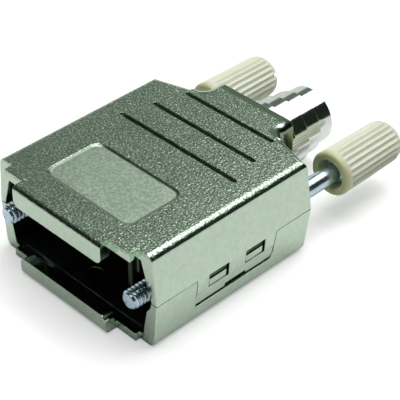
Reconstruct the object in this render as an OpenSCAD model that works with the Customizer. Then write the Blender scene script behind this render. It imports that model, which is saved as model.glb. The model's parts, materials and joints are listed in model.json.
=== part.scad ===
// Hood for a 9-way D-subminiature connector: two snapped metallised half shells,
// a stepped cable outlet and two captive thumbscrews. Millimetres, +Z up.
// X runs across the two screws, Y runs rearwards from the flange seat, and the
// flat underside lies at z = 0. The halves part at the height of the screw axes.

/* [Hood] */
// width across the sides at the parting plane
hood_w = 32; // [31:0.1:40]
// height of the upper half above the screw axes
top_h = 7.9; // [7.5:0.1:10]
// height of the lower half below the screw axes
low_h = 7.6; // [7.5:0.1:10]
// half the height that the connector's flange needs between the plates
seat_half = 6.3; // [6.2:0.05:6.5]
// length from the flange seat to the end of the neck
hood_l = 34.9; // [33:0.1:46]
// draft of the side and shoulder faces, degrees
draft = 5.2; // [0:0.1:6]
// radius of the long edges
edge_r = 1.2; // [0.4:0.1:2]
// side wall at the parting plane
wall_t = 0.95; // [0.8:0.05:1.4]
// extra thickness of an upper side wall where it meets its plate
wall_grow = 1.3; // [0:0.1:2]
// the same for a lower side wall
wall_grow_low = 0.6; // [0:0.1:1.5]
// extra thickness of the lower side walls at the parting plane
wall_extra_low = 0.65; // [0.4:0.05:0.8]
// wall at the shoulders
rear_t = 2; // [1.4:0.1:3]

/* [Shoulders and neck] */
// slant of each shoulder, degrees
shoulder_slant = 16.5; // [8:0.5:25]
// from the end of the neck back to the outer corner of a shoulder
shoulder_back = 5.8; // [4.5:0.1:8]
// width of the neck
neck_w = 14.9; // [14.5:0.1:16.5]
// radius of the neck's long edges
neck_edge_r = 1.3; // [0.5:0.1:2]
// radius of the hollow corners beside the neck
neck_fillet_r = 1.5; // [0.5:0.1:2]

/* [Flange hooks] */
// half width of the plates that cover the flange
cover_half = 12.6; // [11:0.1:13.2]
// reach of the upper cover past the seat
cover_top = 1.35; // [0.6:0.05:1.6]
// reach of the lower cover past the seat
cover_bottom = 0.8; // [0.5:0.05:1.6]
// half width of each hooked lip
lip_half = 8.85; // [7:0.05:10]
// reach of the upper lip past the seat
lip_reach = 3.1; // [2.6:0.1:4]
// reach of the lower lip past the seat
lip_reach_low = 2.8; // [2.6:0.1:4]
// thickness of the hooked part
lip_t = 1.7; // [1.1:0.1:2]
// depth of the hook below its plate
lip_drop = 1.7; // [0.8:0.1:2.2]
// rounding of the lip's outer edge
lip_r = 0.85; // [0.3:0.05:1.2]
// rounding of a lip's free corners
lip_corner_r = 1; // [0.3:0.1:1.2]

/* [Top face] */
// half length of the front groove
groove_half = 11.55; // [9:0.05:12.5]
// how much shorter each following groove is, per side
groove_step = 1.4; // [0:0.1:2]
// distance of the front groove from the seat
groove_first = 19; // [15:0.1:20]
// spacing of the grooves
groove_pitch = 5.15; // [3:0.05:5.5]
// width of a groove
groove_w = 0.7; // [0.3:0.1:1]
// depth of a groove
groove_d = 0.45; // [0.2:0.05:0.7]
// half width of the marking panel
panel_half = 8.6; // [6:0.05:10]
// distance of the panel from the seat
panel_first = 2.1; // [1.5:0.05:4]
// length of the panel
panel_l = 10.1; // [6:0.1:11]
// corner radius of the panel
panel_r = 1.5; // [0.6:0.1:2.5]
// depth of the panel
panel_d = 0.2; // [0.1:0.05:0.5]

/* [Side latches] */
// middle of a latch tongue, from the seat
latch_mid = 15.1; // [13:0.1:16]
// length of the tongue at the parting plane
latch_l = 15.1; // [13:0.1:17]
// reach of the tongue below the parting plane
latch_h = 4.55; // [4:0.05:5.2]
// thickness of the tongue
latch_t = 0.85; // [0.7:0.05:1]
// slack round the tongue
latch_slack = 0.12; // [0.08:0.01:0.25]
// gap below the tongue
latch_gap = 0.3; // [0.1:0.05:0.5]
// length of a latch window
window_l = 3.8; // [3:0.1:4.2]
// height of a latch window
window_h = 2.4; // [2:0.1:2.8]
// distance between the middles of the windows
window_gap = 7; // [6:0.1:8]
// how far the lead-in below the windows falls back
lead_in = 0.2; // [0.1:0.05:0.3]

/* [Thumbscrews] */
// distance between the screw axes
screw_gap = 24.99; // [24.9:0.01:25.1]
// outer diameter of the thread
thread_d = 2.84; // [2.6:0.01:3]
// diameter of the shank
shank_d = 2.72; // [2.4:0.02:2.8]
// how far the tip stands past the seat
tip_out = 1.75; // [1:0.05:3]
// chamfer of the tip
tip_chamfer = 0.35; // [0.1:0.05:0.6]
// length of the threaded end
thread_l = 6.5; // [5:0.1:7]
// diameter of the relief behind the thread
relief_d = 2.2; // [2:0.05:2.3]
// length of that relief
relief_l = 3; // [2:0.1:3.5]
// travel of a screw towards the mating connector
screw_travel = 5.4; // [3:0.1:5.4]
// diameter of the captive collar on the shank
collar_d = 4; // [3.8:0.1:4.2]
// slack of a screw in its saddles, per side
saddle_slack = 0.1; // [0.06:0.01:0.2]
// diameter of the clear channel round the threaded end
channel_d = 4.8; // [4.5:0.05:4.85]
// length of that channel from the seat
channel_l = 5.6; // [5:0.1:6.5]

/* [Thumbscrew heads] */
// gap between the end of the neck and the heads
head_gap = 2.5; // [1:0.1:4]
// diameter of a head
head_d = 7; // [6:0.1:7.6]
// length of a head
head_l = 13.3; // [11:0.1:18]
// plain band at the front of a head
head_band = 1.1; // [0.6:0.1:2]
// loss of diameter from the front to the end of a head
head_taper = 0.3; // [0:0.05:0.8]
// rounding of a head's end
end_r = 1.9; // [0.8:0.1:2.4]
// rounding of a head's front edge
front_r = 0.5; // [0.2:0.05:0.8]
// diameter of the hollow in a head's front
recess_d = 4.6; // [4.3:0.1:5]
// depth of that hollow
recess_l = 2.4; // [1:0.1:4]
// ribs round a head
rib_count = 24; // [12:1:30]
// depth between ribs
rib_d = 0.3; // [0.15:0.05:0.45]
// diameter of the spindle's journal inside a head
journal_d = 3.6; // [3:0.05:4.2]
// running clearance of a head on its journal, per side
journal_slack = 0.04; // [0.02:0.01:0.08]
// width of the driver slot
slot_w = 0.9; // [0.6:0.1:1.2]
// depth of the driver slot
slot_d = 1.4; // [0.8:0.1:2]
// turn of the driver slots out of the level, degrees
slot_turn = 22; // [0:1:90]

/* [Cable outlet] */
// diameter of the largest step
outlet_d = 12; // [11:0.1:12.4]
// loss of diameter at each step
outlet_step = 0.95; // [0.6:0.05:1.2]
// length of a step
outlet_l = 3.03; // [2:0.01:4]
// steps
outlet_steps = 4; // [2:1:4]
// bore for the cable
cable_d = 7.6; // [5:0.1:7.8]
// diameter of the flange held in the neck
outlet_flange_d = 13.2; // [12.9:0.1:13.4]
// thickness of that flange
outlet_flange_t = 1.6; // [1:0.1:2]

/* [Hidden] */
$fn = 96;
split_z = low_h;
half_w = hood_w / 2;
screw_x = screw_gap / 2;
thread_r = thread_d / 2;
shank_r = shank_d / 2;
saddle_r = thread_r + saddle_slack;
shoulder_y = hood_l - shoulder_back;
cavity_end = shoulder_y - rear_t;
part_x = 8.8;
part_t = 0.8;
part_front = 1.6;
stop_t = 1.5;
collar_t = 1.2;
collar_gap = 0.3;
collar_y = cavity_end - stop_t - 8;
front_stop_y = collar_y - screw_travel - collar_gap - stop_t;
rear_stop_y = collar_y + collar_t + collar_gap;
head_y = hood_l + head_gap;
head_end = head_y + head_l;
journal_y = head_y + 0.9;
journal_l = head_l - end_r - 1.4;
flange_y = hood_l - 1.8 - outlet_flange_t - 0.1;
latch_front = latch_mid - latch_l / 2;
latch_back = latch_mid + latch_l / 2;
window_top = 0.25;
web_x = screw_x - 1.25;
web_t = 0.5;
web_front = 1;
web_low = 2.7;
tab_l = 4.4;
tab_drop = 1.3;

// Turns a drawing of X and Z into a bar that runs from y0 to y1.
module along_y(y0, y1) {
    translate([0, y1, 0]) rotate([90, 0, 0]) linear_extrude(y1 - y0) children();
}

// Turns a drawing of Y and Z into a bar of the given half length across X.
module across_x(half) {
    translate([-half, 0, 0]) rotate([90, 0, 90]) linear_extrude(2 * half) children();
}

// Puts a copy on each side of the centre plane.
module both_sides() {
    children();
    mirror([1, 0, 0]) children();
}

// Cross-section of half a drafted, round-edged bar above the parting plane.
module drafted_half(half, r, slope, h) {
    cz = h - r;
    cx = half - r / cos(slope) - cz * tan(slope);
    tx = cx + r * cos(slope);
    tz = cz + r * sin(slope);
    polygon([[-half, 0], [half, 0], [tx, tz], [cx, cz], [cx, h],
             [-cx, h], [-cx, cz], [-tx, tz]]);
    translate([cx, cz]) circle(r);
    translate([-cx, cz]) circle(r);
}

// Everything behind one slanted, drafted shoulder face, with its top edge rounded.
module behind_shoulder(h) {
    translate([half_w - h * tan(draft), shoulder_y, h]) rotate([0, 0, -shoulder_slant]) {
        rotate([draft, 0, 0])
            translate([-24, 0, -2 * h]) cube([48, 24, 3 * h]);
        translate([-24, 0, 0]) rotate([90, 0, 90]) linear_extrude(48) edge_waste(edge_r, draft);
    }
}

// Corner between a top face and a drafted face that a rounding of radius r takes away.
module edge_waste(r, slope) {
    back = r * (1 - sin(slope)) / cos(slope);
    difference() {
        polygon([[-back, 1], [-back, -r], [-back + r * cos(slope), -r + r * sin(slope)], [1, 1]]);
        translate([-back, -r]) circle(r);
    }
}

// Outer body of one half of height h, drawn upwards from the parting plane.
module half_body(h) {
    difference() {
        along_y(0, hood_l) drafted_half(half_w, edge_r, draft, h);
        both_sides() behind_shoulder(h);
    }
    along_y(shoulder_y - 3, hood_l) drafted_half(neck_w / 2, neck_edge_r, 0, h);
    both_sides() neck_corner(h);
}

// Hollow corner between a shoulder and the neck, its top edge rounded like the neck's.
module neck_corner(h) {
    side = neck_w / 2;
    run = half_w - h * tan(draft) - side;
    corner_y = shoulder_y + run * tan(shoulder_slant) + 0.1;
    flare = neck_edge_r;
    difference() {
        translate([side - flare, corner_y - 1, 0])
            cube([neck_fillet_r + flare, neck_fillet_r + 1, h]);
        translate([side + neck_fillet_r, corner_y + neck_fillet_r, -1])
            cylinder(r = neck_fillet_r, h = h + 2);
        translate([side + neck_fillet_r, corner_y + neck_fillet_r, h - flare])
            rotate_extrude() difference() {
                square([neck_fillet_r + flare, flare + 1]);
                translate([neck_fillet_r + flare, 0]) circle(flare);
            }
    }
}

// Inside of one half; the wall thickens from the parting plane to the plate.
module half_cavity(thick, grow) {
    low = half_w - thick;
    high = half_w - seat_half * tan(draft) - thick - grow;
    intersection() {
        along_y(-1, hood_l) polygon([[-low, -1], [low, -1], [low, 0], [high, seat_half],
                                     [-high, seat_half], [-low, 0]]);
        translate([0, 0, -1]) linear_extrude(seat_half + 2)
            polygon([[-half_w, -1], [half_w, -1], [half_w, cavity_end],
                     [8, cavity_end + 1.2], [-8, cavity_end + 1.2], [-half_w, cavity_end]]);
    }
}

// Round recesses of the neck: cable passage, flange pocket and outlet bore.
module neck_bores() {
    translate([0, cavity_end - 1, 0]) rotate([-90, 0, 0]) cylinder(d = outlet_d - 1, h = hood_l);
    translate([0, flange_y, 0]) rotate([-90, 0, 0])
        cylinder(d = outlet_flange_d + 0.2, h = outlet_flange_t + 0.2);
    translate([0, flange_y, 0]) rotate([-90, 0, 0]) cylinder(d = outlet_d + 0.16, h = hood_l);
}

// Cover over the flange and its hooked lip, drawn upwards from the parting plane.
module flange_hook(cover, reach, h) {
    translate([-cover_half, -cover, seat_half]) cube([2 * cover_half, cover + 1, h - seat_half]);
    intersection() {
        across_x(lip_half) lip_profile(reach, h);
        along_y(-reach - 1, 2) lip_outline(h);
    }
}

// Section of the hooked lip across Y and Z.
module lip_profile(reach, h) {
    low = seat_half - lip_drop;
    back = reach - lip_t;
    polygon([[1, h], [-reach + lip_r, h], [-reach + lip_r, h - lip_r],
             [-reach, h - lip_r], [-reach, low], [-back, low],
             [-back, seat_half], [1, seat_half]]);
    translate([-reach + lip_r, h - lip_r]) circle(lip_r);
}

// Front view of the hooked lip, with round free corners.
module lip_outline(h) {
    low = seat_half - lip_drop;
    translate([-lip_half, low + lip_corner_r]) square([2 * lip_half, h]);
    translate([-lip_half + lip_corner_r, low])
        square([2 * (lip_half - lip_corner_r), h]);
    for (s = [-1, 1]) translate([s * (lip_half - lip_corner_r), low + lip_corner_r])
        circle(lip_corner_r);
}

// Walls inside one half: partitions beside the cable and stops round each screw.
module inner_walls(part_low, part_y, saddle_low) {
    stop_x = half_w - wall_t - wall_extra_low - 0.6 - part_x;
    both_sides() {
        translate([part_x, part_y, part_low])
            cube([part_t, cavity_end - part_y + 0.5, seat_half - part_low + 0.2]);
        for (y = [front_stop_y, rear_stop_y]) {
            translate([part_x, y, saddle_low]) cube([stop_x, stop_t, seat_half - 2.2]);
            translate([part_x, y, seat_half - 2.6]) cube([stop_x - 1, stop_t, 2.8]);
        }
    }
    translate([-part_x, cavity_end - 4, seat_half - 2.2]) cube([2 * part_x, 1, 2.4]);
}

// Upper half only: a thin web beside each screw, and a tab that drops past the
// parting plane at the front of each partition.
module upper_webs() {
    both_sides() {
        translate([web_x, web_front, web_low])
            cube([web_t, front_stop_y - web_front + 0.5, seat_half - web_low + 0.2]);
        translate([part_x, part_front, -tab_drop])
            cube([part_t, tab_l, seat_half + tab_drop]);
    }
}

// Round clearance for both screws through the stops and shoulders, wider for the
// collars and round the threaded ends.
module screw_bores() {
    both_sides() translate([screw_x, -8, 0]) rotate([-90, 0, 0]) {
        cylinder(r = saddle_r, h = hood_l + 8);
        translate([0, 0, 8 + front_stop_y + stop_t])
            cylinder(r = collar_d / 2 + saddle_slack, h = rear_stop_y - front_stop_y - stop_t);
        cylinder(d = channel_d, h = 8 + channel_l);
    }
}

// One long groove with round ends, cut from the outer face.
module groove(half, h) {
    translate([0, 0, h - groove_d]) linear_extrude(groove_d + 1) {
        translate([-half + groove_w / 2, -groove_w / 2]) square([2 * half - groove_w, groove_w]);
        for (s = [-1, 1]) translate([s * (half - groove_w / 2), 0]) circle(d = groove_w);
    }
}

// Marking panel sunk in the outer face.
module panel(h) {
    flat_x = panel_half - panel_r;
    translate([0, panel_first, h - panel_d]) linear_extrude(panel_d + 1) {
        translate([-panel_half, panel_r]) square([2 * panel_half, panel_l - 2 * panel_r]);
        translate([-flat_x, 0]) square([2 * flat_x, panel_l]);
        for (s = [-1, 1], y = [panel_r, panel_l - panel_r])
            translate([s * flat_x, y]) circle(panel_r);
    }
}

// Outer face detail shared by both halves.
module face_detail(h) {
    for (i = [0:2])
        translate([0, groove_first + i * groove_pitch, 0])
            groove(groove_half - i * groove_step, h);
    panel(h);
}

// Plan of a latch tongue in Y and Z, from the parting plane down.
module tongue_plan(slack, low) {
    polygon([[latch_front - slack, 1.6], [latch_front - slack, -latch_h - low],
             [latch_back - 0.9 + slack, -latch_h - low], [latch_back - 0.37 + slack, 0.7 - latch_h],
             [latch_back + slack, 0], [latch_back + slack, 1.6]]);
}

// Turns what is drawn from the parting line of the right side into its drafted face.
module on_side() {
    translate([half_w, 0, 0]) rotate([0, draft, 0]) children();
}

// Slab of a plan in Y and Z, from a depth under the drafted side outwards.
module side_slab(depth, thick) {
    on_side() translate([-depth, 0, 0]) rotate([90, 0, 90]) linear_extrude(thick) children();
}

// Latch tongue of the right side, with two windows, a lead-in and a pry notch.
module latch_tongue() {
    difference() {
        side_slab(latch_t, latch_t) difference() {
            intersection() {
                tongue_plan(0, 0);
                translate([0, -latch_h]) square([hood_l, latch_h]);
            }
            for (s = [-1, 1])
                translate([latch_mid + s * window_gap / 2 - window_l / 2, -window_top - window_h])
                    square([window_l, window_h]);
            translate([latch_mid - 2, -latch_h - 1]) square([4, 1.5]);
        }
        on_side() along_y(latch_front - 1, latch_back + 1)
            polygon([[-0.06, -window_top - window_h], [1, -window_top - window_h],
                     [1, -latch_h - 1], [-lead_in, -latch_h - 1]]);
    }
}

// Two wedges of the lower half that catch the windows of the right tongue.
module latch_wedges() {
    root = -latch_t - latch_slack - 0.3;
    face = -0.2;
    low = window_top + window_h - 0.06;
    on_side() for (s = [-1, 1])
        along_y(latch_mid + s * window_gap / 2 - window_l / 2 + 0.3,
                latch_mid + s * window_gap / 2 + window_l / 2 - 0.3)
            polygon([[root, -low + 1.5], [face - 0.25, -low + 1.35], [face, -low + 1.1],
                     [face, -low], [root, -low]]);
}

// Upper half: top face, latch tongues, hooks and inner walls.
module upper_shell() {
    color([0.55, 0.6, 0.55]) translate([0, 0, split_z]) {
        difference() {
            union() {
                difference() {
                    half_body(top_h);
                    half_cavity(wall_t, wall_grow);
                }
                inner_walls(0.2, part_front, 0.2);
                upper_webs();
                flange_hook(cover_top, lip_reach, top_h);
            }
            neck_bores();
            screw_bores();
            face_detail(top_h);
        }
        both_sides() latch_tongue();
    }
}

// Lower half: bottom face, pockets for the tongues with their wedges, hooks and walls.
module lower_shell() {
    color([0.5, 0.55, 0.5]) translate([0, 0, split_z]) {
        difference() {
            mirror([0, 0, 1]) difference() {
                union() {
                    difference() {
                        half_body(low_h);
                        half_cavity(wall_t + wall_extra_low, wall_grow_low);
                    }
                    inner_walls(1.8, front_stop_y + stop_t, 0.1);
                    flange_hook(cover_bottom, lip_reach_low, low_h);
                }
                neck_bores();
                screw_bores();
                face_detail(low_h);
                floor_marks();
            }
            both_sides() side_slab(latch_t + latch_slack, 2)
                tongue_plan(latch_slack, latch_gap);
        }
        both_sides() latch_wedges();
    }
}

// Shallow marks in the floor: a groove behind the flange and a round ejector mark.
module floor_marks() {
    translate([-12, 0.2, seat_half - 0.5]) cube([24, 0.7, 0.65]);
    translate([-0.5, 3.4, seat_half - 0.5]) cylinder(d = 3, h = 0.6);
}

// Stepped outlet with its cable bore and the flange that the neck holds.
module cable_outlet() {
    color([0.85, 0.86, 0.87]) translate([0, 0, split_z]) rotate([-90, 0, 0]) difference() {
        union() {
            translate([0, 0, flange_y + 0.1]) cylinder(d = outlet_flange_d, h = outlet_flange_t);
            for (i = [0:outlet_steps - 1])
                translate([0, 0, flange_y + 0.1])
                    cylinder(d = outlet_d - i * outlet_step,
                             h = hood_l - flange_y - 0.1 + (i + 1) * outlet_l);
        }
        cylinder(d = cable_d, h = 2 * hood_l);
    }
}

// Spindle of a thumbscrew: threaded end, relief, captive collar, shank and journal.
module spindle() {
    journal_end = head_y + journal_l - 0.1;
    thread_end = thread_l - tip_out;
    relief_r = relief_d / 2;
    color([0.6, 0.66, 0.72]) translate([screw_x, 0, split_z]) rotate([-90, 0, 0]) {
        rotate_extrude() polygon([
            [0, -tip_out], [thread_r - tip_chamfer, -tip_out], [thread_r, -tip_out + tip_chamfer],
            [thread_r, thread_end], [relief_r, thread_end + 0.3],
            [relief_r, thread_end + relief_l], [shank_r, thread_end + relief_l + 0.3],
            [shank_r, collar_y], [collar_d / 2, collar_y], [collar_d / 2, collar_y + collar_t],
            [shank_r, collar_y + collar_t], [shank_r, journal_y], [journal_d / 2, journal_y + 0.3],
            [journal_d / 2, journal_end], [0, journal_end]]);
    }
}

// Half section of a head, from its axis outwards and from its front to its end.
module head_section() {
    r = head_d / 2;
    end = r - head_taper / 2;
    difference() {
        union() {
            polygon([[0, head_y], [r - front_r, head_y], [r - front_r, head_y + front_r],
                     [r, head_y + front_r], [r, head_y + head_band], [end, head_end - end_r],
                     [end - end_r, head_end - end_r], [end - end_r, head_end], [0, head_end]]);
            translate([r - front_r, head_y + front_r]) circle(front_r);
            translate([end - end_r, head_end - end_r]) intersection() {
                circle(end_r);
                square(end_r);
            }
        }
        translate([0, head_y - 1]) square([recess_d / 2, recess_l + 1]);
        square([journal_d / 2 + journal_slack, head_y + journal_l]);
    }
}

// Ribbed head of a thumbscrew: hollow front, blind bore, rounded end and driver slot.
module head() {
    color([0.82, 0.8, 0.68]) translate([screw_x, 0, split_z]) rotate([-90, 0, 0]) difference() {
        rotate_extrude() head_section();
        for (i = [0:rib_count - 1]) rotate([0, 0, (i + 0.5) * 360 / rib_count])
            translate([head_d / 2 - rib_d - head_taper / 4, -0.2, head_y + head_band])
                cube([1, 0.4, head_l - head_band - end_r * 0.6]);
        rotate([0, 0, slot_turn]) translate([-head_d, -slot_w / 2, head_end - slot_d])
            cube([2 * head_d, slot_w, slot_d + 1]);
    }
}

module spindle_right() {
    spindle();
}

module spindle_left() {
    mirror([1, 0, 0]) spindle();
}

module head_right() {
    head();
}

module head_left() {
    mirror([1, 0, 0]) head();
}

upper_shell();
lower_shell();
cable_outlet();
spindle_left();
spindle_right();
head_left();
head_right();
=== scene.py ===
"""Metallised hood of a 9-way D-subminiature connector, set on a pale table.

Lengths are in metres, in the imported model's frame: X across the two screws, Y from
the connector towards the cable, Z up from the underside.
"""
import json
import math

import bpy
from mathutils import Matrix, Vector


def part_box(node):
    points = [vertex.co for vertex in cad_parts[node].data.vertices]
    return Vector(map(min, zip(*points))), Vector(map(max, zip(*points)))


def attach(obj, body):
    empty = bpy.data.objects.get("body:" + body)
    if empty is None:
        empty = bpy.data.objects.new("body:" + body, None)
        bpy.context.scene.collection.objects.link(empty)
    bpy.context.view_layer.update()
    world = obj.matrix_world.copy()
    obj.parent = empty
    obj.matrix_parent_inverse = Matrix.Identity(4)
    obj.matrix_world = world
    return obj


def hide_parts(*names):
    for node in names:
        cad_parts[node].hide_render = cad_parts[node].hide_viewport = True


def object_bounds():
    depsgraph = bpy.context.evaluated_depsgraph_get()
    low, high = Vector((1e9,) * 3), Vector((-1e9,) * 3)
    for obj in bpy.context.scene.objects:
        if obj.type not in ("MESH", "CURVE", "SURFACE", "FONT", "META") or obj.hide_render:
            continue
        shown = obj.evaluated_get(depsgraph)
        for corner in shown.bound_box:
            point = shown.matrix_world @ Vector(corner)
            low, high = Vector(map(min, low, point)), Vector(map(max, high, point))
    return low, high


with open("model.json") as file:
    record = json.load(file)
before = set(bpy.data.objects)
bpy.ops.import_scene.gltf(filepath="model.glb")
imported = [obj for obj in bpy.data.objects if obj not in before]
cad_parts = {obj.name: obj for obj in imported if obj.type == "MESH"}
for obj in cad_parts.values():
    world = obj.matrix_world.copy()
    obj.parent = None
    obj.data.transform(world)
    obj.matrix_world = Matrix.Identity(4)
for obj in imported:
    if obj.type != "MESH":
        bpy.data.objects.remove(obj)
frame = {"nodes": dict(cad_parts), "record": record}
cad_low, cad_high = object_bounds()
mm = 0.001
half_turn = math.pi


# The lower half shell: the tray that the connector and cable lie in. It is moulded
# plastic under bright nickel plating, with a grained outer face and smooth sides,
# and the tongues of the upper half snap into pockets in its side walls.
mounts = {m["name"]: m["pos_m"] for m in frame["record"]["mounts"]}
parting_z = mounts["cable_entry"][2]
seam_gap = 0.08 * mm
edge_width = 0.07 * mm
shell_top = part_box("upper_shell")[1]
mid_height = shell_top.z / mm / 2
face_height = mid_height
side_half = shell_top.x / mm - 0.72
shoulder_y = 29.1
shoulder_rise = math.tan(math.radians(16.5))
neck_half = 7.45
neck_end = shell_top.y / mm
panel_half, panel_l, panel_r = 8.6, 10.1, 1.5
panel_y = 2.1 + panel_l / 2
panel_depth = 0.2
panel_slope = 0.36
groove_half, groove_first = 11.55, 19
inner_half = side_half - 0.6
inner_end = shoulder_y - 2.1
inner_height = mid_height - 1.2


class Wire:
    """A socket in a material; Python's operators on it add Math nodes."""

    def __init__(self, finish, socket):
        self.finish = finish
        self.socket = socket

    def math(self, operation, first, second):
        return self.finish.node("Math", {0: first, 1: second}, operation=operation)

    def __add__(self, other):
        return self.math("ADD", self, other)

    __radd__ = __add__

    def __sub__(self, other):
        return self.math("SUBTRACT", self, other)

    def __rsub__(self, other):
        return self.math("SUBTRACT", other, self)

    def __mul__(self, other):
        return self.math("MULTIPLY", self, other)

    __rmul__ = __mul__

    def __pow__(self, other):
        return self.math("POWER", self, other)

    def least(self, other):
        return self.math("MINIMUM", self, other)

    def most(self, other):
        return self.math("MAXIMUM", self, other)

    def size(self):
        return self.math("ABSOLUTE", self, 0.0)

    def step(self, low, high):
        """0 below low and 1 above high, with a soft change between them."""
        return self.finish.node("MapRange", {"Value": self, "From Min": low, "From Max": high},
                                interpolation_type="SMOOTHSTEP")


class Finish:
    """A surface finish: a node material built on one Principled shader."""

    def __init__(self, name, **fixed):
        self.material = bpy.data.materials.new(name)
        self.material.use_nodes = True
        self.tree = self.material.node_tree
        self.shader = self.tree.nodes["Principled BSDF"]
        for socket, value in fixed.items():
            self.shader.inputs[socket.replace("_", " ")].default_value = value

    def node(self, kind, values, output=0, stops=(), **settings):
        """Adds a node: its settings first, then the values or links of its sockets."""
        made = self.tree.nodes.new("ShaderNode" + kind)
        for setting, value in settings.items():
            setattr(made, setting, value)
        for place, colour in stops:
            made.color_ramp.elements.new(place).color = colour
        for socket, value in values.items():
            self.join(value, made.inputs[socket])
        return Wire(self, made.outputs[output])

    def join(self, value, socket):
        if isinstance(value, Wire):
            self.tree.links.new(value.socket, socket)
        else:
            socket.default_value = value

    def surface(self, socket, value):
        self.join(value, self.shader.inputs[socket])

    def place(self):
        """Object coordinates in millimetres: the vector, then X, Y and Z."""
        metres = self.node("TexCoord", {}, output="Object")
        vector = self.node("VectorMath", {0: metres, "Scale": 1 / mm}, operation="SCALE")
        return (vector, *(self.node("SeparateXYZ", {0: vector}, output=i) for i in range(3)))

    def noise(self, vector, scale, detail=2.0, roughness=0.5):
        return self.node("TexNoise", {"Vector": vector, "Scale": scale, "Detail": detail,
                                      "Roughness": roughness})

    def mix(self, factor, first, second):
        return self.node("Mix", {0: factor, 6: first, 7: second}, output=2, data_type="RGBA")

    def bump(self, height, depth, normal=None):
        values = {"Height": height, "Distance": depth, "Strength": 1.0}
        if normal:
            values["Normal"] = normal
        return self.node("Bump", values)


def nickel_plate():
    """Bright nickel plating: grained on the two broad faces, smooth on the rest."""
    plate = Finish("nickel_plate", Metallic=1.0)
    vector, x, y, z = plate.place()
    x_size = x.size()

    # Grain covers the broad faces and their long roundings, and stops short of the
    # roundings at the shoulders and the neck.
    face = (z - mid_height).size().step(face_height - 0.75, face_height - 0.3)
    inside_body = (side_half - x_size) * shoulder_rise + shoulder_y - y
    inside_neck = (neck_half - x_size).least(neck_end - y)
    grained = face * inside_body.most(inside_neck).step(0.75, 1.25)

    # The marking panel, with its rounded corners, has a much finer grain.
    across = (x_size - (panel_half - panel_r)).most(0.0)
    along = ((y - panel_y).size() - (panel_l / 2 - panel_r)).most(0.0)
    from_border = panel_r - (across * across + along * along) ** 0.5
    panel = from_border.step(0.15, 0.4) * face
    # Painted shade: a dark band is painted along the panel's sloped border.
    border = from_border.step(-0.1, 0.1) * (1 - from_border.step(0.3, 0.5)) * face
    cells = plate.node("TexVoronoi", {"Vector": vector, "Scale": 2.9, "Smoothness": 0.6,
                                      "Randomness": 1.0}, feature="SMOOTH_F1")
    wrinkles = plate.noise(vector, 3.4, detail=2.0, roughness=0.5)
    fine = plate.noise(vector, 6.0, detail=2.0)
    coarse_height = (wrinkles * 1.2 - cells * 0.7) * grained * (1 - panel)
    ripple = plate.noise(vector, 0.16, detail=1.0)
    pits = plate.node("TexVoronoi", {"Vector": vector, "Scale": 0.9, "Randomness": 1.0})
    pits = pits.step(0.05, 0.09)
    height = coarse_height + fine * panel * 0.4 + ripple * 0.5 + pits * 0.1
    plate.surface("Normal", plate.bump(height, 0.04 * mm))

    # Painted shade: the tray's inside, the grooves and the panel's border are painted dark, and the
    # tray's inside is also rougher.
    from_middle = (z - mid_height).size()
    inside = (inner_half - x_size).least(inner_end - y).least(y - 0.35)
    inside = inside.least(inner_height - from_middle).step(0.0, 0.15)
    # Painted shade: the grooves are painted dark.
    grooves = (groove_half + 0.2 - x_size).least(y - groove_first + 1).step(0.0, 0.1)
    grooves = grooves * (face_height - from_middle).step(0.06, 0.3)
    clouds = plate.noise(vector, 0.35, detail=3.0)
    plate.surface("Roughness", 0.1 + clouds * 0.08 + grained * 0.1 + panel * 0.14 + inside * 0.3)
    tone = plate.noise(vector, 1.3, detail=4.0).step(0.3, 0.7)
    speck = plate.noise(vector, 3.1, detail=3.0).step(0.38, 0.62)
    base = plate.mix(tone, (0.57, 0.71, 0.57, 1), (0.64, 0.77, 0.63, 1))
    base = plate.mix(speck * grained * (0.85 - panel * 0.3), base, (0.28, 0.36, 0.29, 1))
    # Painted shade in the grooves and on the panel's border.
    base = plate.mix((grooves * 0.7).most(border * 0.75), base, (0.10, 0.12, 0.10, 1))
    # Painted shade: the inside of the tray is painted near black.
    plate.surface("Base Color", plate.mix(inside * 0.95, base, (0.05, 0.06, 0.045, 1)))
    return plate.material


def only(piece):
    """Makes one object the active and only selected one."""
    bpy.ops.object.select_all(action="DESELECT")
    piece.select_set(True)
    bpy.context.view_layer.objects.active = piece


def merged_copy(node, name):
    """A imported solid's surface as one closed mesh with whole flat faces."""
    piece = bpy.data.objects.new(name, frame["nodes"][node].data.copy())
    piece.data.name = name
    piece.data.materials.clear()
    bpy.context.scene.collection.objects.link(piece)
    only(piece)
    bpy.ops.object.mode_set(mode="EDIT")
    bpy.ops.mesh.select_all(action="SELECT")
    bpy.ops.mesh.remove_doubles(threshold=0.02 * mm)
    bpy.ops.mesh.dissolve_limited(angle_limit=math.radians(0.6))
    bpy.ops.object.mode_set(mode="OBJECT")
    return piece


def slope_panel(piece, floor_z):
    """Draws the panel's floor in on all sides, so that its border is a slope."""
    centre = Vector((0, panel_y * mm, floor_z))
    only(piece)
    for v in piece.data.vertices:
        v.select = (abs(v.co.z - floor_z) < 0.01 * mm
                    and abs(v.co.x) < (panel_half + 0.1) * mm
                    and abs(v.co.y - centre.y) < (panel_l / 2 + 0.1) * mm)
    for part in (*piece.data.edges, *piece.data.polygons):
        part.select = False
    bpy.ops.object.mode_set(mode="EDIT")
    bpy.ops.mesh.select_mode(type="VERT")
    bpy.ops.transform.resize(value=(1 - panel_slope / panel_half, 1 - 2 * panel_slope / panel_l, 1),
                             center_override=centre)
    bpy.ops.object.mode_set(mode="OBJECT")


def shade(piece, angle):
    """Shades a piece smooth below an angle, and keeps its broad faces flat."""
    only(piece)
    bpy.ops.object.shade_smooth_by_angle(angle=math.radians(angle))
    weight = piece.modifiers.new("flats", "WEIGHTED_NORMAL")
    weight.keep_sharp = True
    bpy.ops.object.modifier_apply(modifier=weight.name)


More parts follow.
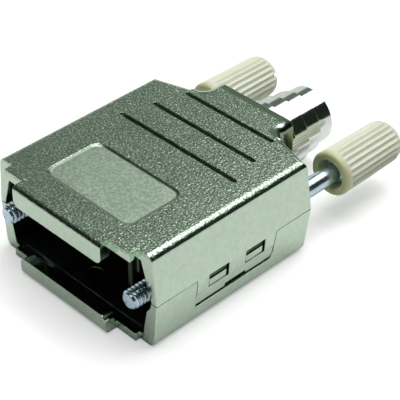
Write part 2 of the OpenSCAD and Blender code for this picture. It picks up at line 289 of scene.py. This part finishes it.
def soften(piece, width, angle=20, segments=2):
    """Rounds the sharp edges of a piece and shades the rest smooth."""
    only(piece)
    edge = piece.modifiers.new("edges", "BEVEL")
    edge.width = width
    edge.segments = segments
    edge.limit_method = "ANGLE"
    edge.angle_limit = math.radians(angle)
    edge.use_clamp_overlap = False
    bpy.ops.object.modifier_apply(modifier=edge.name)
    for v in piece.data.vertices:
        v.co.z = min(max(v.co.z, cad_low.z), cad_high.z)
    shade(piece, 40)


nickel = nickel_plate()
lower = merged_copy("lower_shell", "lower_shell_plated")
slope_panel(lower, cad_low.z + panel_depth * mm)
for v in lower.data.vertices:
    if abs(v.co.z - parting_z) < 0.01 * mm:
        v.co.z -= seam_gap
soften(lower, edge_width)
lower.data.materials.append(nickel)
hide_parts("lower_shell")
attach(lower, "hood")


# The upper half shell: the lid, with the marking panel, three long grooves and the
# two side tongues whose windows catch the wedges of the lower half. It is moulded
# and plated like the lower one.
upper = merged_copy("upper_shell", "upper_shell_plated")
slope_panel(upper, cad_high.z - panel_depth * mm)
soften(upper, edge_width)
upper.data.materials.append(nickel)
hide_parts("upper_shell")
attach(upper, "hood")


# The cable outlet: a turned brass bush with four steps, polished and chromed, whose
# flange is held in the neck between the two halves.
def mirror_chrome():
    chrome = Finish("mirror_chrome", Metallic=1.0)
    vector, x, y, z = chrome.place()
    turning = chrome.noise(chrome.node("CombineXYZ", {"Y": y * 6.0}), 1.0, detail=2.0)
    clouds = chrome.noise(vector, 0.3, detail=2.0)
    chrome.surface("Normal", chrome.bump(turning + clouds, 0.004 * mm))
    chrome.surface("Roughness", 0.08 + clouds * 0.08)
    stain = chrome.noise(vector, 0.8, detail=4.0).step(0.35, 0.75)
    chrome.surface("Base Color", chrome.mix(stain, (0.80, 0.84, 0.81, 1), (0.88, 0.90, 0.88, 1)))
    return chrome.material


def turned(name, axis, profile, steps):
    """Spins a profile of (radius, y) points round a line along Y through axis."""
    bpy.ops.object.select_all(action="DESELECT")
    bpy.ops.mesh.primitive_plane_add(size=mm, location=(0, 0, 0))
    piece = bpy.context.object
    piece.name = piece.data.name = name
    bpy.ops.object.mode_set(mode="EDIT")
    bpy.ops.mesh.select_all(action="SELECT")
    bpy.ops.mesh.merge(type="CENTER")
    start = Vector((axis.x + profile[0][0], profile[0][1], axis.z))
    bpy.ops.transform.translate(value=start)
    for (r0, y0), (r1, y1) in zip(profile, profile[1:]):
        bpy.ops.mesh.extrude_region_move(
            TRANSFORM_OT_translate={"value": (r1 - r0, y1 - y0, 0)})
    bpy.ops.mesh.select_all(action="SELECT")
    bpy.ops.mesh.spin(steps=steps, angle=2 * half_turn, center=(axis.x, 0, axis.z), axis=(0, 1, 0))
    bpy.ops.mesh.select_all(action="SELECT")
    bpy.ops.mesh.remove_doubles(threshold=0.001 * mm)
    bpy.ops.mesh.normals_make_consistent(inside=False)
    bpy.ops.object.mode_set(mode="OBJECT")
    return piece


def rounded_step(outer_r, y, radius, count=4):
    """The rounded outer edge of a step's end face, from its side to its face."""
    turns = (math.radians(90 * i / count) for i in range(count + 1))
    return [(outer_r - radius + radius * math.cos(a), y - radius + radius * math.sin(a))
            for a in turns]


outlet_low, outlet_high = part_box("cable_outlet")
outlet_axis = (outlet_low + outlet_high) / 2
flange_r = (outlet_high.x - outlet_low.x) / 2
flange_t = 1.6 * mm
step_count = 4
outlet_facets = 128
step_l = (outlet_high.y - neck_end * mm) / step_count
step_r = 6 * mm
step_drop = 0.475 * mm
bore_r = 3.8 * mm
edge = 0.12 * mm


def outlet_profile():
    """Closed half outline: bore, flange, then the steps out to the mouth and back."""
    steps = []
    for i in range(step_count):
        radius = step_r - i * step_drop
        start = outlet_low.y + flange_t if i == 0 else neck_end * mm + i * step_l
        end = neck_end * mm + (i + 1) * step_l
        steps += [(radius, start), *rounded_step(radius, end, edge)]
    return [(bore_r, outlet_low.y), (flange_r - edge, outlet_low.y), (flange_r, outlet_low.y + edge),
            (flange_r, outlet_low.y + flange_t - edge), (flange_r - edge, outlet_low.y + flange_t),
            *steps, (bore_r + edge, outlet_high.y), (bore_r, outlet_high.y - edge),
            (bore_r, outlet_low.y)]


outlet = turned("cable_outlet_chromed", outlet_axis, outlet_profile(), outlet_facets)
shade(outlet, 30)
outlet.data.materials.append(mirror_chrome())
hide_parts("cable_outlet")
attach(outlet, "hood")


# The two captive screws: steel, turned, with a rolled thread at the front, a relief
# and a collar behind it, and a plain shank that ends in the journal inside the head.
# Blue-passivated zinc covers them.
def blue_zinc():
    zinc = Finish("blue_zinc", Metallic=1.0)
    vector, x, y, z = zinc.place()
    turning = zinc.noise(zinc.node("CombineXYZ", {"Y": y * 14.0}), 1.0, detail=3.0)
    clouds = zinc.noise(vector, 1.2, detail=3.0)
    zinc.surface("Normal", zinc.bump(turning, 0.006 * mm))
    zinc.surface("Roughness", 0.16 + clouds * 0.16)
    blue, pale_blue = (0.52, 0.70, 0.82, 1), (0.70, 0.81, 0.88, 1)
    zinc.surface("Base Color", zinc.mix(clouds.step(0.3, 0.7), blue, pale_blue))
    return zinc.material


screw_low, screw_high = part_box("spindle_right")
screw_x = (screw_low.x + screw_high.x) / 2
screw_z = (screw_low.z + screw_high.z) / 2
screw_axis = Vector((screw_x, 0, screw_z))
head_low, head_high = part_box("head_right")
tip_y = screw_low.y
shank_r = 1.36 * mm
thread_r = 1.42 * mm
screw_facets = 48
thread_root = 1.04 * mm
thread_pitch = 25.4 / 40 * mm
thread_end = tip_y + 6.5 * mm
collar_y = 17.6 * mm
journal_y = head_low.y + 0.9 * mm


def screw_profile():
    """Half outline of a screw, from its tip to the end of its journal."""
    step = thread_pitch / 16
    stations = [tip_y + step * i for i in range(round((thread_end - tip_y) / step) + 1)]
    threaded = [(min(thread_r, 1.07 * mm + (y - tip_y)), y) for y in stations]
    return [(0, tip_y), *threaded,
            (1.1 * mm, thread_end + 0.3 * mm), (1.1 * mm, thread_end + 2.9 * mm),
            (shank_r, thread_end + 3.2 * mm), (shank_r, collar_y),
            (1.9 * mm, collar_y), (2 * mm, collar_y + 0.1 * mm), (2 * mm, collar_y + 1.1 * mm),
            (1.9 * mm, collar_y + 1.2 * mm), (shank_r, collar_y + 1.2 * mm),
            (shank_r, journal_y - 0.01 * mm), (1.5 * mm, journal_y + 0.05 * mm),
            (1.8 * mm, journal_y + 0.3 * mm), (1.8 * mm, screw_high.y), (0, screw_high.y)]


def roll_thread(piece):
    """Presses a right-hand 60 degree thread into the front of a screw."""
    for v in piece.data.vertices:
        if v.co.y > thread_end + 0.01 * mm:
            continue
        dx, dz = v.co.x - screw_x, v.co.z - screw_z
        radius = math.hypot(dx, dz)
        if radius < 0.2 * mm:
            continue
        turn = math.atan2(dx, dz) / (2 * half_turn)
        phase = (v.co.y / thread_pitch - turn) % 1
        flank = min(1, max(0, (abs(phase - 0.5) - 0.125) / 0.3125))
        target = thread_root + (thread_r - thread_root) * flank
        new = min(radius, target)
        v.co.x = screw_x + dx * new / radius
        v.co.z = screw_z + dz * new / radius


zinc = blue_zinc()
right_screw = turned("screw_right_zinc", screw_axis, screw_profile(), screw_facets)
roll_thread(right_screw)
shade(right_screw, 38)
right_screw.data.materials.append(zinc)
left_screw = right_screw.copy()
left_screw.data = right_screw.data.copy()
left_screw.name = left_screw.data.name = "screw_left_zinc"
bpy.context.scene.collection.objects.link(left_screw)
left_screw.location.x = -2 * screw_x
only(left_screw)
bpy.ops.object.transform_apply(location=True, rotation=True, scale=True)
for side, screw in (("left", left_screw), ("right", right_screw)):
    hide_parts("spindle_" + side)
    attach(screw, side + "_head")


# The two thumbscrew heads: moulded beige plastic, hollow at the front, with soft ribs
# for the fingers, a domed end and a driver slot. Each turns on its screw's journal.
rib_count = 24
rib_depth = 0.3 * mm
head_r = (head_high.x - head_low.x) / 2
end_r = 1.9 * mm
front_r = 0.5 * mm
ribs_from = head_low.y + 1.1 * mm
ribs_to = head_high.y - 1.1 * mm


def arc(centre_r, centre_y, radius, first, last, count):
    """Points of an arc in (radius, y), with angles in degrees from the outward axis."""
    angles = (math.radians(first + (last - first) * i / count) for i in range(count + 1))
    return [(centre_r + radius * math.cos(a), centre_y + radius * math.sin(a)) for a in angles]


def head_profile():
    """Half outline of a head, from its blind bore round the front to its domed end."""
    front, end = head_low.y, head_high.y
    small_r = head_r - 0.15 * mm
    ribbed = [ribs_from + (end - end_r - ribs_from) * i / 40 for i in range(41)]
    slope = (head_r - small_r) / (end - end_r - ribs_from)
    return [(0, screw_high.y + 0.1 * mm), (1.84 * mm, screw_high.y + 0.1 * mm),
            (1.84 * mm, front + 2.4 * mm), (2.2 * mm, front + 2.4 * mm),
            (2.3 * mm, front + 2.3 * mm), (2.3 * mm, front + 0.15 * mm),
            (2.33 * mm, front + 0.05 * mm), (2.42 * mm, front),
            *arc(head_r - front_r, front + front_r, front_r, -90, 0, 6),
            *[(head_r - slope * (y - ribs_from), y) for y in ribbed],
            *arc(small_r - end_r, end - end_r, end_r, 6, 90, 12),
            (0, end)]


def press_ribs(piece):
    """Draws the valleys between the ribs in, and runs them out at both ends."""
    for v in piece.data.vertices:
        if not ribs_from < v.co.y < ribs_to:
            continue
        dx, dz = v.co.x - screw_x, v.co.z - screw_z
        radius = math.hypot(dx, dz)
        if radius < 2.5 * mm:
            continue
        wave = 0.5 - 0.5 * math.cos(rib_count * math.atan2(dx, dz))
        front_fade = min(1, (v.co.y - ribs_from) / (0.35 * mm))
        end_fade = min(1, (ribs_to - v.co.y) / (0.9 * mm))
        cut = rib_depth * wave ** 0.65 * front_fade ** 0.5 * end_fade ** 0.5
        v.co.x = screw_x + dx * (1 - cut / radius)
        v.co.z = screw_z + dz * (1 - cut / radius)


def cut_slot(piece, turn):
    """Cuts the driver slot across a head's end."""
    only(piece)
    bpy.ops.mesh.primitive_cube_add(size=1, location=(screw_x, head_high.y, screw_z),
                                    rotation=(0, math.radians(turn), 0),
                                    scale=(9 * mm, 2.8 * mm, 0.9 * mm))
    cutter = bpy.context.object
    bpy.ops.object.transform_apply(location=True, rotation=True, scale=True)
    only(piece)
    slot = piece.modifiers.new("slot", "BOOLEAN")
    slot.object = cutter
    slot.solver = "EXACT"
    bpy.ops.object.modifier_apply(modifier=slot.name)
    bpy.data.objects.remove(cutter)


def beige_plastic():
    """Moulded beige plastic, with painted shade: the front ring is painted a darker olive."""
    plastic = Finish("beige_plastic", Metallic=0.0, IOR=1.5)
    vector, x, y, z = plastic.place()
    clouds = plastic.noise(vector, 0.5, detail=3.0)
    skin = plastic.noise(vector, 6.0, detail=3.0)
    # Painted shade: the front ring, which faces away from the lamps, is painted a darker olive.
    front = 1 - y.step(head_low.y / mm + 0.2, head_low.y / mm + 1.3)
    body = plastic.mix(clouds, (0.76, 0.79, 0.63, 1), (0.84, 0.86, 0.71, 1))
    plastic.surface("Base Color", plastic.mix(front, body, (0.66, 0.68, 0.38, 1)))
    plastic.surface("Roughness", 0.32 + clouds * 0.14)
    plastic.surface("Normal", plastic.bump(skin, 0.012 * mm))
    return plastic.material


beige = beige_plastic()
right_head = turned("head_right_plastic", screw_axis, head_profile(), rib_count * 8)
press_ribs(right_head)
left_head = right_head.copy()
left_head.data = right_head.data.copy()
left_head.name = left_head.data.name = "head_left_plastic"
bpy.context.scene.collection.objects.link(left_head)
cut_slot(right_head, 22)
cut_slot(left_head, -22)
left_head.location.x = -2 * screw_x
only(left_head)
bpy.ops.object.transform_apply(location=True, rotation=True, scale=True)
for side, head in (("left", left_head), ("right", right_head)):
    shade(head, 42)
    head.data.materials.append(beige)
    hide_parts("head_" + side)
    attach(head, side + "_head")


# The table: a broad white sheet that the hood lies on. It shows white to the eye, and
# still takes the hood's soft shadow.
def white_sheet():
    sheet = Finish("white_sheet", Roughness=0.8)
    vector, x, y, z = sheet.place()
    sheet.surface("Base Color", sheet.mix(sheet.noise(vector, 0.02), (0.84, 0.84, 0.84, 1),
                                          (0.88, 0.88, 0.88, 1)))
    seen = sheet.node("LightPath", {}, output="Is Camera Ray")
    glow = sheet.node("Emission", {"Color": (1, 1, 1, 1), "Strength": seen * 0.42})
    total = sheet.node("AddShader", {0: Wire(sheet, sheet.shader.outputs[0]), 1: glow})
    sheet.join(total, sheet.tree.nodes["Material Output"].inputs["Surface"])
    return sheet.material


table_gap = 0.02 * mm
bpy.ops.object.select_all(action="DESELECT")
bpy.ops.mesh.primitive_circle_add(vertices=64, radius=3, fill_type="NGON", location=(0, 0, -table_gap))
table = bpy.context.object
table.name = table.data.name = "table"
table.data.materials.append(white_sheet())


# The room: dim overhead and in front, grey where the back wall on the left rises
# behind the table, and white where the eye looks past the table.
room = bpy.data.worlds.new("room")
bpy.context.scene.world = room
room.use_nodes = True
air = room.node_tree.nodes
pipes = room.node_tree.links
back_wall = (-0.62, 0.68, 0.40)
look = air.new("ShaderNodeTexCoord")
toward_wall = air.new("ShaderNodeVectorMath")
toward_wall.operation = "DOT_PRODUCT"
toward_wall.inputs[1].default_value = back_wall
shade = air.new("ShaderNodeValToRGB")
for stop, (place, colour) in zip(shade.color_ramp.elements, ((0.55, (0.012, 0.018, 0.012, 1)),
                                                            (0.95, (0.125, 0.155, 0.125, 1)))):
    stop.position = place
    stop.color = colour
seen = air.new("ShaderNodeLightPath")
white = air.new("ShaderNodeMix")
white.data_type = "RGBA"
white.inputs[7].default_value = (1, 1, 1, 1)
pipes.new(look.outputs["Generated"], toward_wall.inputs[0])
pipes.new(toward_wall.outputs["Value"], shade.inputs[0])
pipes.new(seen.outputs["Is Camera Ray"], white.inputs[0])
pipes.new(shade.outputs[0], white.inputs[6])
pipes.new(white.outputs[2], air["Background"].inputs["Color"])


# The lamps: one broad soft lamp above and behind the hood, one straight overhead that
# lights the table, and a weaker upright panel at the back on the left.
def soft_lamp(name, bearing, rise, distance, width, height, radiance):
    """A rectangular lamp that faces the hood from a bearing and a rise in degrees."""
    b, r = math.radians(bearing), math.radians(rise)
    way = Vector((math.sin(b) * math.cos(r), math.cos(b) * math.cos(r), math.sin(r)))
    aim = (cad_low + cad_high) / 2
    lamp = bpy.data.lights.new(name, "AREA")
    lamp.shape = "RECTANGLE"
    lamp.size = width
    lamp.size_y = height
    lamp.energy = radiance * 4 * width * height
    holder = bpy.data.objects.new(name, lamp)
    holder.location = aim + way * distance
    holder.rotation_euler = way.to_track_quat("Z", "Y").to_euler()
    bpy.context.scene.collection.objects.link(holder)
    return holder


soft_lamp("softbox", 0, 60, 0.7, 0.64, 0.42, 1.6)
soft_lamp("overhead", 0, 88, 0.7, 0.5, 0.5, 3.4)
soft_lamp("side_panel", -52, 6, 0.7, 0.5, 0.42, 0.42)


# The camera, on a long lens, above and to the front right of the hood.
eye = bpy.data.cameras.new("eye")
eye.lens = 134
eye.sensor_width = 36
holder = bpy.data.objects.new("eye", eye)
bearing, rise, distance = math.radians(134.51), math.radians(37.63), 0.2
way = Vector((math.sin(bearing) * math.cos(rise), math.cos(bearing) * math.cos(rise), math.sin(rise)))
aim = Vector((9.19, 14.53, 13.54)) * mm
holder.location = aim + way * distance
holder.rotation_euler = way.to_track_quat("Z", "Y").to_euler()
bpy.context.scene.collection.objects.link(holder)
bpy.context.scene.camera = holder
bpy.context.scene.view_settings.view_transform = "Standard"
